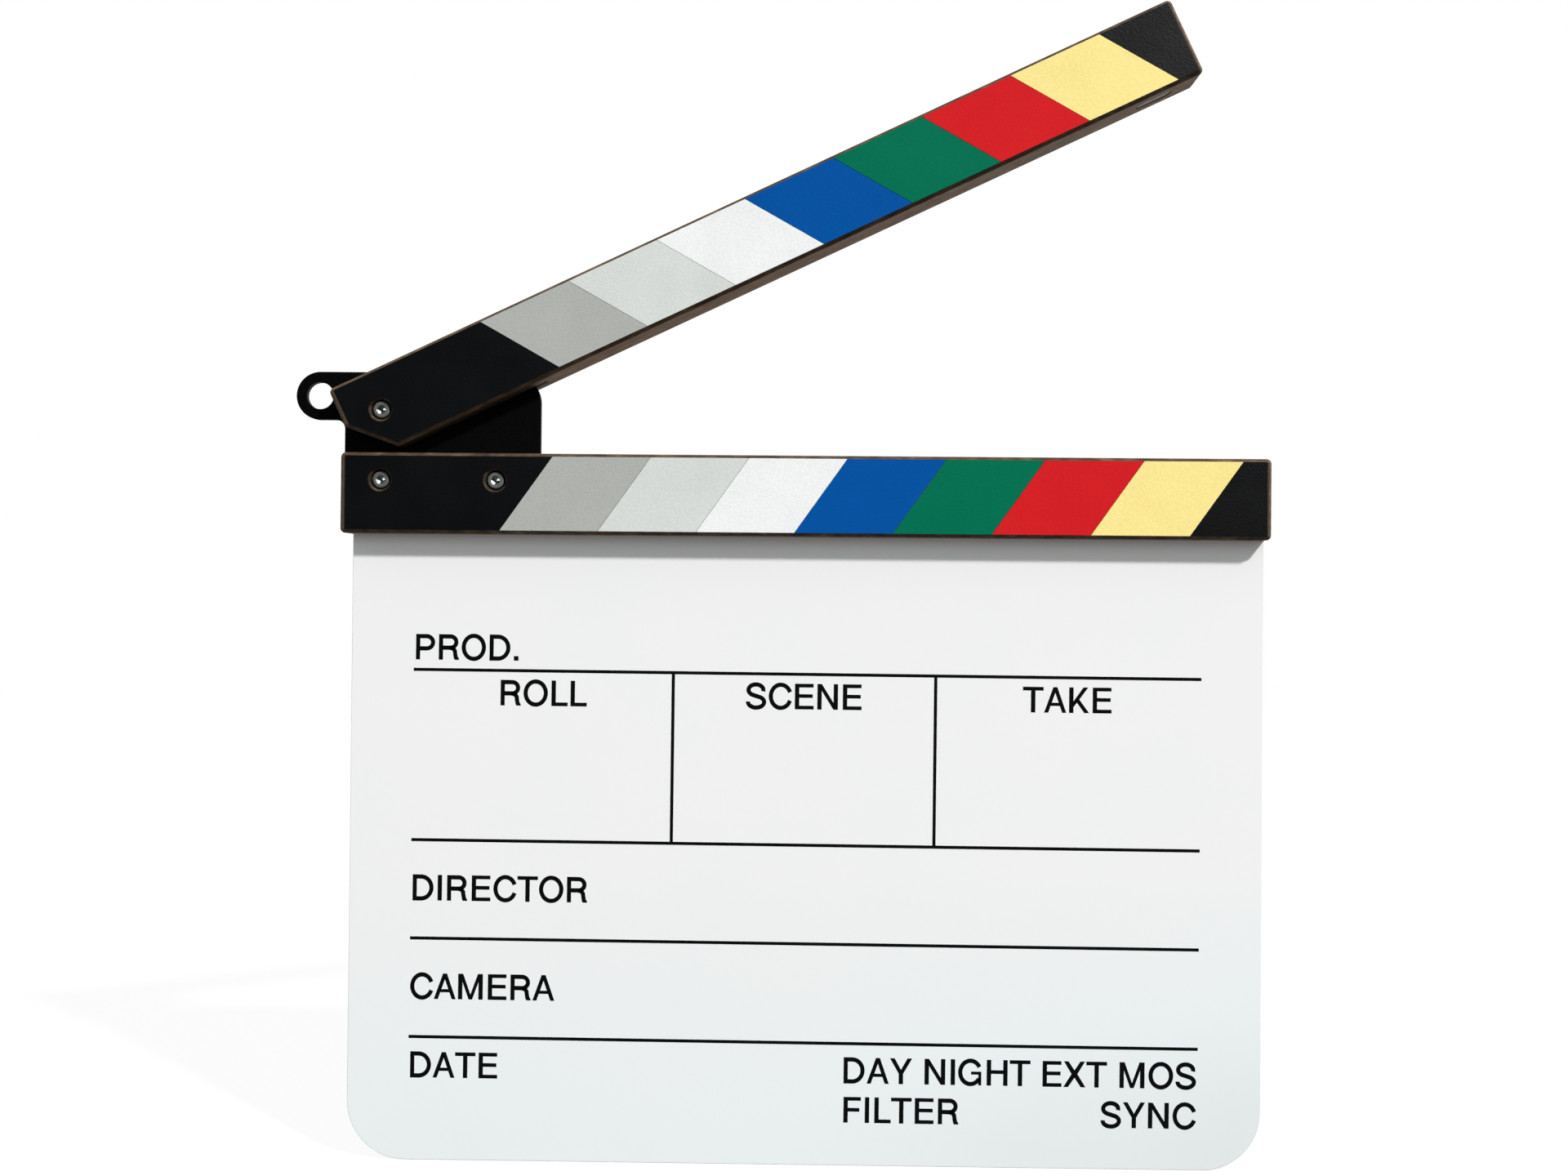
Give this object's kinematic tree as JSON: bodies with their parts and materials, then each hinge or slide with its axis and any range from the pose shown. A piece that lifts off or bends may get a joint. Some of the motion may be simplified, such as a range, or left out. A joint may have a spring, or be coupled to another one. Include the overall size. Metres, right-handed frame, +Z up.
{
  "type": "clapperboard",
  "caption": "Film clapperboard with a white write-on slate, colour-striped clap sticks that swing shut on a slotted hinge plate, inset magnets and a lanyard eye.",
  "frame": {"origin": "on the slate's bottom edge at mid-thickness, below the middle of the lower stick", "axes": "+Z up the slate, +X to the right seen from the printed front, which faces -Y; +Y is through the thickness"},
  "size_m": [0.3166, 0.015, 0.3774],
  "materials": {
    "white_acrylic": "opal white sheet, satin write-on face",
    "fibreboard": "raw dark brown fibreboard, routed edges",
    "black_film": "fine pebbled laminate",
    "mid_grey_film": "fine pebbled laminate",
    "light_grey_film": "fine pebbled laminate",
    "white_film": "fine pebbled laminate",
    "blue_film": "fine pebbled laminate",
    "green_film": "fine pebbled laminate",
    "red_film": "fine pebbled laminate",
    "yellow_film": "fine pebbled laminate",
    "black_plate": "satin black coating",
    "screw_steel": "plain zinc",
    "magnet_nickel": "nickel plate",
    "nylon": "natural nylon"
  },
  "bodies": {
    "slate": {"slate_board": "white_acrylic", "lower_stick": "fibreboard", "lower_film_hinge_end": "black_film", "lower_stripe_mid_grey": "mid_grey_film", "lower_stripe_light_grey": "light_grey_film", "lower_stripe_white": "white_film", "lower_stripe_blue": "blue_film", "lower_stripe_green": "green_film", "lower_stripe_red": "red_film", "lower_stripe_yellow": "yellow_film", "lower_film_free_end": "black_film", "lower_film_rear": "black_film", "hinge_plate": "black_plate", "plate_screw_left": "screw_steel", "plate_screw_right": "screw_steel", "plate_nut_left": "screw_steel", "plate_nut_right": "screw_steel", "lower_magnet": "magnet_nickel"},
    "clap_stick": {"upper_stick": "fibreboard", "upper_film_hinge_end": "black_film", "upper_stripe_mid_grey": "mid_grey_film", "upper_stripe_light_grey": "light_grey_film", "upper_stripe_white": "white_film", "upper_stripe_blue": "blue_film", "upper_stripe_green": "green_film", "upper_stripe_red": "red_film", "upper_stripe_yellow": "yellow_film", "upper_film_free_end": "black_film", "upper_film_rear": "black_film", "pivot_screw": "screw_steel", "pivot_lock_nut": "screw_steel", "pivot_lock_ring": "nylon", "upper_magnet": "magnet_nickel"}
  },
  "joints": [
    {"name": "clap_hinge", "type": "hinge", "parent": "slate", "child": "clap_stick", "pos_m": [-0.137, 0, 0.24375], "axis": [0, -1, 0], "range_deg": [-25.42, 67.7]}
  ]
}
